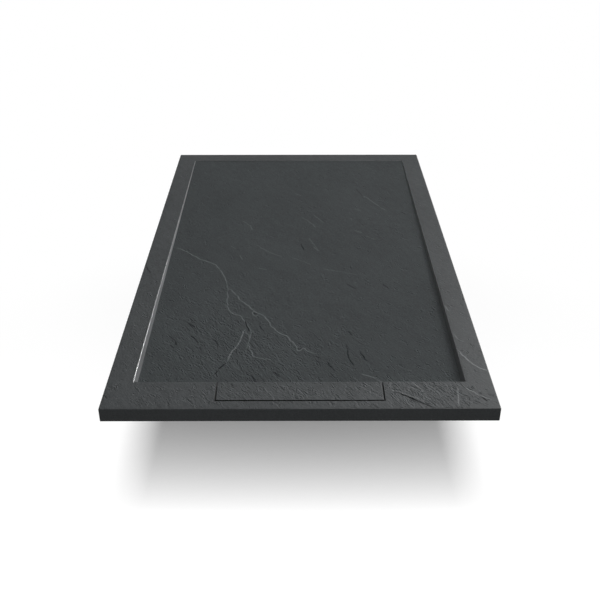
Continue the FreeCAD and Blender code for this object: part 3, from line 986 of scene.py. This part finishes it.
class TRAY_OT_stone_slab(bpy.types.Operator):
    """Cast the slab: rim, recess with its falling floor, opening and sump, with a riven top"""

    bl_idname = "tray.stone_slab"
    bl_label = "Stone Slab"
    bl_options = {"UNDO"}

    def execute(self, context):
        scene = context.scene
        sizes, relief = scene.tray_sizes, scene.stone_relief
        spacing = relief.mesh_spacing * 1

        x, y = slab_grid(sizes, spacing)
        z, _, _ = recess_profile(sizes, x, y)
        x, y, inset = round_corners(x, y, HALF_WIDTH, HALF_LENGTH, sizes.corner_radius)
        z -= edge_drop(inset, sizes.edge_radius)
        mesh = grid_block("stone_slab", x, y, z, np.zeros(2), foot_rings(sizes))
        slab = new_piece("stone_slab", mesh)
        refine_near_veins(mesh)
        self.mark_slab(mesh, sizes)
        carve_relief(slab, scene)
        cut(slab, opening_tool(sizes, stone_finishes(scene)))
        shade(slab.data, 34)

        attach(slab, "tray")
        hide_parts("tray_slab")
        return {"FINISHED"}

    def mark_slab(self, mesh, sizes):
        """Stores the relief's mask at each point, and at each face the finish that it gets."""
        x, y, z = point_places(mesh).T
        _, inside, _ = recess_profile(sizes, x, y)
        # the relief dies out towards the outer edge, and is weaker on the walls' top edges
        outer_fade, wall_fade, wall_loss = 5 * MM, 3 * MM, 0.65
        mask = np.clip(side_inset(x, y) / outer_fade, 0, 1)
        mask *= 1 - wall_loss * np.exp(-((inside / wall_fade) ** 2))
        mark_stone(mesh, np.where(z > TOP_ONLY, mask, 0))

        x, y, z = face_values(mesh, "center")
        _, inside, run = recess_profile(sizes, x, y)
        steep = face_values(mesh, "normal")[2] < math.cos(WALL_TILT)
        on_wall = steep & (inside > 0) & (inside < WALL_SHARE * run)
        on_arris = steep & (np.abs(inside) < ARRIS_REACH * ARRIS * run)
        # the worn top edge takes the darker side finish too: a painted line of shade along the slab's
        # outline
        on_side_or_shaded_edge = (z < TOP_ONLY) | (side_inset(x, y) < sizes.edge_radius)
        region = np.where(inside > run, REGION["floor"], REGION["rim"])
        for part, here in (("wall", on_wall), ("arris", on_arris), ("side", on_side_or_shaded_edge)):
            region = np.where(here, REGION[part], region)
        set_attribute(mesh, "region", region.astype(np.int32), "FACE", "INT")


def face_values(mesh, name):
    """A vector that each face has, such as its centre, as rows of x, y and z."""
    values = np.zeros(len(mesh.polygons) * 3)
    mesh.polygons.foreach_get(name, values)
    return values.reshape(-1, 3).T


def side_inset(x, y):
    """How far points lie within the slab's sides."""
    return np.minimum(HALF_WIDTH - np.abs(x), HALF_LENGTH - np.abs(y))


def edge_drop(inset, radius):
    """How far a rounded edge lies below the flat beside it."""
    short = np.clip(radius - inset, 0, radius)
    return radius - np.sqrt(radius**2 - short**2)


def foot_rings(sizes):
    """Rings of the slab's side as (inset, height), from below its top edge to the rounded foot."""
    foot = sizes.foot_radius
    side = np.linspace(RIM_TOP - sizes.edge_radius, foot, 6)[1:]
    turns = np.linspace(0, math.pi / 2, 4)[1:]
    round_foot = [(foot * (1 - math.cos(turn)), foot * (1 - math.sin(turn))) for turn in turns]
    return [(0, height) for height in side] + round_foot


# ---------------------------------------------------------------- cover


def plate_places(half, chamfer, spacing):
    """Places across the cover: closer together at both broken edges, and even between them."""
    edge = np.array((0, 0.5, 1.0, 1.6)) * chamfer
    flat = half - 2.4 * chamfer
    return np.concatenate((edge - half, graded(-flat, flat, spacing, spacing), half - edge[::-1]))


class TRAY_OT_drain_cover(bpy.types.Operator):
    """Cut the cover from the same riven stone, with a sawn edge, broken all round"""

    bl_idname = "tray.drain_cover"
    bl_label = "Drain Cover"
    bl_options = {"UNDO"}

    def execute(self, context):
        scene = context.scene
        chamfer = scene.tray_sizes.cover_chamfer
        spacing = COVER_SPACING * 1
        centre = np.array(((COVER_LOW + COVER_HIGH) / 2)[:2])
        half = np.array(((COVER_HIGH - COVER_LOW) / 2)[:2])
        x, y = np.meshgrid(*(plate_places(reach, chamfer, spacing) for reach in half))
        inset = np.minimum(half[0] - np.abs(x), half[1] - np.abs(y))
        z = COVER_HIGH.z - np.clip(chamfer - inset, 0, None)
        bottom, foot = COVER_LOW.z, 0.3 * MM
        rings = [(0, (COVER_HIGH.z + bottom) / 2), (0, bottom + foot), (foot, bottom)]
        mesh = grid_block("cover_plate", x + centre[0], y + centre[1], z, centre, rings)
        cover = new_piece("cover_plate", mesh)
        self.mark_cover(mesh, centre, half, chamfer)
        carve_relief(cover, scene)
        shade(cover.data, 30)

        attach(cover, "cover")
        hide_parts("drain_cover")
        return {"FINISHED"}

    def mark_cover(self, mesh, centre, half, chamfer):
        """Stores the relief's mask at each point, and at each face the finish that it gets."""
        # the relief is weaker at the edge, and the faces below the chamfer have none
        edge_share, edge_fade = 0.35, 3 * MM
        places = point_places(mesh)
        inset = np.min(half - np.abs(places[:, :2] - centre), axis=1)
        mask = np.clip(edge_share + inset / edge_fade, 0, 1)
        mark_stone(mesh, np.where(places[:, 2] > COVER_HIGH.z - 1.5 * chamfer, mask, 0))

        height = face_values(mesh, "center")[2]
        faces_up = face_values(mesh, "normal")[2] > 0.85
        # faces that don't face up, the chamfer and the sawn edge, take the near-black core: painted
        # shade in the gap round the cover
        region = np.where(faces_up, REGION["rim"], REGION["core"])
        region = np.where(height > COVER_LOW.z, region, REGION["side"])
        set_attribute(mesh, "region", region.astype(np.int32), "FACE", "INT")


# ---------------------------------------------------------------- fittings


def dress(node_name, material):
    """Gives a CAD node its material in place of the plain one it came with."""
    for slot in frame["nodes"][node_name].material_slots:
        slot.material = material


def make_fitting_material(name, base, roughness, uneven, grain, height, metallic=0, specular=0.5):
    """A fitting's finish: its roughness, how far that varies, and a fine grain.

    Grain is (across, upwards) in mm, and height is how deep the grain goes, also in mm.
    """
    material, tree = start_material(name)
    node = partial(add_node, tree)
    place = node("ShaderNodeTexCoord", output="Object")
    across, upwards = grain
    scale = (1 / (across * MM), 1 / (across * MM), 1 / (upwards * MM))
    place = node(VECTOR_MATH, {0: place, 1: scale}, operation="MULTIPLY")
    fine = node("ShaderNodeTexNoise", {"Vector": place, "Scale": 1.0, "Detail": 3.0})
    dull = node(MATH, {0: fine, 1: uneven, 2: roughness - uneven / 2}, operation="MULTIPLY_ADD")
    depth = node(MATH, {0: fine, 1: height * MM}, operation="MULTIPLY")
    surface = {
        "Base Color": (*base, 1),
        "Metallic": metallic,
        "Specular IOR Level": specular,
        "Roughness": dull,
    }
    end_material(tree, depth, surface)
    return material


class TRAY_OT_rubber_seals(bpy.types.Operator):
    """Give the pads, the gasket and the rings under the slab their rubber and plastic"""

    bl_idname = "tray.rubber_seals"
    bl_label = "Pads and Seals"
    bl_options = {"UNDO"}

    def execute(self, context):
        colours = context.scene.fitting_colours
        # EPDM rubber pressed in a mould: nearly black and dull, with a faint matt skin
        rubber = make_fitting_material(
            "epdm_rubber_moulded",
            colours.rubber,
            roughness=0.7,
            uneven=0.2,
            grain=(0.8, 0.8),
            height=0.02,
            specular=0.35,
        )
        # polyethylene cut from sheet: milky and waxy, with a soft broad sheen
        plastic = make_fitting_material(
            "polyethylene_sheet_cut",
            colours.plastic,
            roughness=0.42,
            uneven=0.1,
            grain=(1.5, 1.5),
            height=0.01,
        )
        for node in ("cover_pads", "flange_gasket", "underside_washer"):
            dress(node, rubber)
        dress("slip_washer", plastic)
        return {"FINISHED"}


class TRAY_OT_backnut(bpy.types.Operator):
    """Give the backnut its machined brass"""

    bl_idname = "tray.backnut"
    bl_label = "Backnut"
    bl_options = {"UNDO"}

    def execute(self, context):
        # brass turned and milled from bar: fine tool marks run round the part and stretch the gloss
        brass = make_fitting_material(
            "brass_machined",
            context.scene.fitting_colours.brass,
            roughness=0.32,
            uneven=0.16,
            grain=(2.4, 0.12),
            height=0.006,
            metallic=1,
        )
        dress("backnut", brass)
        return {"FINISHED"}


class TRAY_OT_hair_strainer(bpy.types.Operator):
    """Give the lift-out strainer its stainless steel"""

    bl_idname = "tray.hair_strainer"
    bl_label = "Hair Strainer"
    bl_options = {"UNDO"}

    def execute(self, context):
        # stainless steel pressed from brushed sheet: a satin gloss with fine level lines
        steel = make_fitting_material(
            "stainless_steel_brushed",
            context.scene.fitting_colours.steel,
            roughness=0.3,
            uneven=0.14,
            grain=(3.0, 0.15),
            height=0.004,
            metallic=1,
        )
        dress("hair_strainer", steel)
        return {"FINISHED"}


def turned_mesh(name, profile):
    """A closed shape turned about the waste's axis, from its outline as (radius, height)."""
    count = len(profile)
    points = []
    faces = []
    for side in range(ROUND_SIDES):
        turn = math.tau * side / ROUND_SIDES
        here, beyond = side * count, (side + 1) % ROUND_SIDES * count
        for step, (radius, height) in enumerate(profile):
            above = (step + 1) % count
            points.append((radius * math.cos(turn), WASTE_Y + radius * math.sin(turn), height))
            faces.append((here + step, beyond + step, beyond + above, here + above))
    return closed_mesh(name, points, faces)


def thread_tree(material):
    """Geometry Nodes that sink a rounded screw thread into a round tail, between two heights."""
    tree, given = start_shape_tree("tail_thread", ("Pitch", "Depth", "Radius", "Low", "High"))
    node = partial(add_node, tree)
    from_axis = node(
        VECTOR_MATH,
        {0: node("GeometryNodeInputPosition"), 1: (0, WASTE_Y, 0)},
        operation="SUBTRACT",
    )
    x, y, height = node("ShaderNodeSeparateXYZ", {0: from_axis}).node.outputs
    outwards = node("ShaderNodeCombineXYZ", {0: x, 1: y})
    radius = node(VECTOR_MATH, {0: outwards}, output="Value", operation="LENGTH")

    # one turn round the tail climbs by one pitch, and each turn of the line is a rounded V
    turn = node(MATH, {0: y, 1: x}, operation="ARCTAN2")
    turns = node(MATH, {0: turn, 1: math.tau}, operation="DIVIDE")
    climb = node(MATH, {0: height, 1: given["Pitch"]}, operation="DIVIDE")
    line = node(MATH, {0: climb, 1: turns}, operation="SUBTRACT")
    line = node(MATH, {0: line, 1: 0.5}, operation="PINGPONG")
    flat = 0.04
    root = node(
        MAP_RANGE,
        {"Value": line, "From Min": flat, "From Max": 0.5 - flat},
        interpolation_type="SMOOTHSTEP",
    )
    # the thread runs out smoothly before the flange, and starts in full just above the tail's end
    run_out, run_in = 2.5 * MM, 0.3 * MM
    top = node(MATH, {0: given["High"], 1: height}, operation="SUBTRACT")
    bottom = node(MATH, {0: height, 1: given["Low"]}, operation="SUBTRACT")
    for end, reach in ((top, run_out), (bottom, run_in)):
        near_end = node(MAP_RANGE, {"Value": end, "From Max": reach})
        root = node(MATH, {0: root, 1: near_end}, operation="MULTIPLY")
    # it is cut only from the tail's outside, which the bore and its edges are far within
    on_tail = node(MATH, {0: radius, 1: given["Radius"]}, operation="SUBTRACT")
    on_tail = node(MATH, {0: on_tail, 1: -0.01 * MM}, operation="GREATER_THAN")
    root = node(MATH, {0: root, 1: on_tail}, operation="MULTIPLY")
    inwards = node(MATH, {0: root, 1: given["Depth"]}, operation="MULTIPLY")
    inwards = node(MATH, {0: inwards, 1: -1}, operation="MULTIPLY")
    outwards = node(VECTOR_MATH, {0: outwards}, operation="NORMALIZE")
    offset = node(VECTOR_MATH, {0: outwards, "Scale": inwards}, operation="SCALE")
    shape = node("GeometryNodeSetPosition", {"Geometry": given["Geometry"], "Offset": offset})
    shape = node("GeometryNodeRealizeInstances", {"Geometry": shape})
    shape = node("GeometryNodeSetMaterial", {"Geometry": shape, "Material": material})
    node("NodeGroupOutput", {"Geometry": shape})
    return tree


class TRAY_OT_waste_fitting(bpy.types.Operator):
    """Turn the waste fitting: flange, seat for the strainer, water way and threaded tail"""

    bl_idname = "tray.waste_fitting"
    bl_label = "Waste Fitting"
    bl_options = {"UNDO"}

    def execute(self, context):
        scene = context.scene
        sizes = scene.tray_sizes
        flange = (FLANGE_HIGH.x - FLANGE_LOW.x) / 2
        seat = STRAINER_HIGH.x + sizes.strainer_clearance
        end, top = FLANGE_LOW.z, FLANGE_HIGH.z
        under, tail, lip = GASKET_HIGH.z, TAIL_RADIUS, 0.5 * MM
        outer_lip, chamfer = 0.8 * MM, 1 * MM
        cup, bore = sizes.cup_bore / 2, sizes.tail_bore / 2
        step = end + sizes.tail_bore_height
        shelf = top - sizes.strainer_rim
        # the thread has eight rings of points to each turn, and stops 3 mm below the flange
        thread_end, thread_top = end + chamfer, under - 3 * MM
        rings = round((thread_top - end) / (sizes.thread_pitch / 8))
        profile = [
            (bore, end + lip),
            (bore + lip, end),
            (tail - chamfer, end),
            *((tail, height) for height in np.linspace(thread_end, thread_top, rings)),
            (tail, under),
            (flange - lip, under),
            (flange, under + lip),
            *rounded_rim(flange, top, outer_lip, 1),
            *rounded_rim(seat, top, lip, -1),
            (seat, shelf),
            (cup, shelf),
            (cup, step + cup - bore),
            (bore, step),
        ]
        # chromium plate on polished brass: a hard bright mirror, a little blue
        chrome = make_fitting_material(
            "chrome_plated_brass",
            scene.fitting_colours.chrome,
            roughness=0.1,
            uneven=0.06,
            grain=(2, 2),
            height=0.001,
            metallic=1,
        )
        fitting = new_piece("waste_fitting", turned_mesh("waste_fitting", profile))
        pitch, depth = sizes.thread_pitch, sizes.thread_depth
        places = {"Radius": tail, "Low": thread_end, "High": thread_top}
        run_shape_tree(fitting, thread_tree(chrome), {"Pitch": pitch, "Depth": depth, **places})
        shade(fitting.data, 40)

        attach(fitting, "tray")
        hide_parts("waste_flange")
        return {"FINISHED"}


def rounded_rim(radius, top, lip, way):
    """Points of a rim's rounded top edge: up an outer wall where way is 1, down an inner at -1."""
    return [
        (radius - way * lip + way * lip * math.cos(turn), top - lip + lip * math.sin(turn))
        for turn in np.linspace(0, math.pi / 2, 5)[::way]
    ]


# ---------------------------------------------------------------- studio


def softbox(name, azimuth, elevation, distance, size, power, lit):
    """A rectangular lamp that faces the tray's middle and lights only one collection.

    Azimuth is counted from +X towards +Y, and both angles are in degrees.
    """
    light = bpy.data.lights.new(name, "AREA")
    light.shape = "RECTANGLE"
    light.size, light.size_y = size
    light.energy = power
    lamp = bpy.data.objects.new(name, light)
    bpy.context.scene.collection.objects.link(lamp)
    azimuth, elevation = math.radians(azimuth), math.radians(elevation)
    towards = Vector((math.cos(azimuth), math.sin(azimuth), math.tan(elevation))).normalized()
    lamp.location = towards * distance
    lamp.rotation_euler = towards.to_track_quat("Z", "Y").to_euler()
    lamp.light_linking.receiver_collection = lit
    return lamp


def seen_ray(tree):
    """1 for rays that show the background: from the camera, off a gloss or through glass."""
    node = partial(add_node, tree)
    rays = node("ShaderNodeLightPath").node.outputs
    seen = node(MATH, {0: rays["Is Camera Ray"], 1: rays["Is Glossy Ray"]}, operation="MAXIMUM")
    return node(MATH, {0: seen, 1: rays["Is Transmission Ray"]}, operation="MAXIMUM")


class TRAY_OT_studio(bpy.types.Operator):
    """Set the pale floor, the soft lamps, the white surroundings and the camera"""

    bl_idname = "tray.studio"
    bl_label = "Studio"
    bl_options = {"UNDO"}

    def execute(self, context):
        scene = context.scene
        light = scene.studio_light
        scene.view_settings.view_transform = "Standard"
        tray_lit, floor_lit = (bpy.data.collections.new(name) for name in ("tray_lit", "floor_lit"))
        for piece in scene.objects:
            if piece.type == "MESH":
                tray_lit.objects.link(piece)
        floor_lit.objects.link(self.make_floor(light))

        # each with its azimuth, elevation, distance, size and power, and what it lights
        softbox("back_right", 43, 24, 20, (6.0, 7.4), light.back_right, tray_lit)
        shine = softbox("shine", 51, 45, 3.2, (1.1, 0.9), light.shine, tray_lit)
        shine.visible_diffuse = False
        softbox("overhead", -62, 55, 14, (8.4, 7.0), light.overhead, tray_lit)
        softbox("floor_lamp", -90, 51.5, 12, (2.6, 7.4), light.floor_lamp, floor_lit)
        self.make_world(scene, light.fill)
        self.make_camera(scene)
        return {"FINISHED"}

    def make_floor(self, light):
        """Matt white paper below the tray. Where it is seen, it glows a little, so that the
        shadow on it is as pale as the photo's, and it fades to plain white farther out. Rays that
        only carry light find it grey, so that it throws little light up at the tray."""
        low = (-FLOOR_HALF, -FLOOR_HALF, FLOOR_HEIGHT - 10 * MM)
        mesh = box(low, (FLOOR_HALF, FLOOR_HALF, FLOOR_HEIGHT))
        floor = new_piece("studio_floor", mesh)
        material, tree = start_material("white_paper_matt")
        node = partial(add_node, tree)
        white = (1, 1, 1, 1)
        paper = node("ShaderNodeBsdfDiffuse", {"Color": (0.8, 0.8, 0.8, 1)})
        grey = node("ShaderNodeBsdfDiffuse", {"Color": (0.35, 0.35, 0.35, 1)})
        glow = node("ShaderNodeEmission", {"Color": white, "Strength": light.floor_glow})
        plain = node("ShaderNodeEmission", {"Color": white, "Strength": 1.0})
        lit = node("ShaderNodeAddShader", {0: paper, 1: glow})
        place = node("ShaderNodeTexCoord", output="Object")
        away = node(
            VECTOR_MATH,
            {0: place, 1: (0, SHADOW_MIDDLE, FLOOR_HEIGHT)},
            output="Value",
            operation="DISTANCE",
        )
        outside = node(
            MAP_RANGE,
            {"Value": away, "From Min": FLOOR_FADE[0], "From Max": FLOOR_FADE[1]},
            interpolation_type="SMOOTHSTEP",
        )
        seen = node("ShaderNodeMixShader", {0: outside, 1: lit, 2: plain})
        both = node("ShaderNodeMixShader", {0: seen_ray(tree), 1: grey, 2: seen})
        node("ShaderNodeOutputMaterial", {"Surface": both})
        mesh.materials.append(material)
        return floor

    def make_world(self, scene, fill):
        world = bpy.data.worlds.new("white_studio")
        world.use_nodes = True
        tree = world.node_tree
        tree.nodes.clear()
        node = partial(add_node, tree)
        strength = node("ShaderNodeMix", {0: seen_ray(tree), 2: fill, 3: 1.0})
        glow = node("ShaderNodeBackground", {"Color": (1, 1, 1, 1), "Strength": strength})
        node("ShaderNodeOutputWorld", {"Surface": glow})
        scene.world = world

    def make_camera(self, scene):
        camera_data = bpy.data.cameras.new("camera")
        camera_data.sensor_width = 36
        camera_data.lens = CAMERA_LENS
        camera = bpy.data.objects.new("camera", camera_data)
        camera.location = CAMERA_PLACE
        camera.rotation_euler = Euler(CAMERA_TURN)
        scene.collection.objects.link(camera)
        scene.camera = camera


# ---------------------------------------------------------------- add-on


class TRAY_PT_panel(bpy.types.Panel):
    """One button for each piece of the tray, and one for the studio"""

    bl_label = "Slate Shower Tray"
    bl_idname = "TRAY_PT_panel"
    bl_space_type = "VIEW_3D"
    bl_region_type = "UI"
    bl_category = "Shower Tray"

    def draw(self, context):
        layout = self.layout
        for operator in OPERATORS:
            layout.operator(operator.bl_idname)


GROUPS = {
    "tray_sizes": TraySizes,
    "stone_relief": StoneRelief,
    "stone_colours": StoneColours,
    "fitting_colours": FittingColours,
    "studio_light": StudioLight,
}
OPERATORS = (
    TRAY_OT_stone_slab,
    TRAY_OT_drain_cover,
    TRAY_OT_waste_fitting,
    TRAY_OT_hair_strainer,
    TRAY_OT_rubber_seals,
    TRAY_OT_backnut,
    TRAY_OT_studio,
)


def register():
    for name, group in GROUPS.items():
        bpy.utils.register_class(group)
        setattr(bpy.types.Scene, name, PointerProperty(type=group))
    for operator in OPERATORS:
        bpy.utils.register_class(operator)
    bpy.utils.register_class(TRAY_PT_panel)


def unregister():
    bpy.utils.unregister_class(TRAY_PT_panel)
    for operator in reversed(OPERATORS):
        bpy.utils.unregister_class(operator)
    for name, group in reversed(GROUPS.items()):
        delattr(bpy.types.Scene, name)
        bpy.utils.unregister_class(group)


def main():
    register()
    bpy.ops.tray.stone_slab()
    bpy.ops.tray.drain_cover()
    bpy.ops.tray.waste_fitting()
    bpy.ops.tray.hair_strainer()
    bpy.ops.tray.rubber_seals()
    bpy.ops.tray.backnut()
    bpy.ops.tray.studio()


if __name__ == "__main__":
    main()
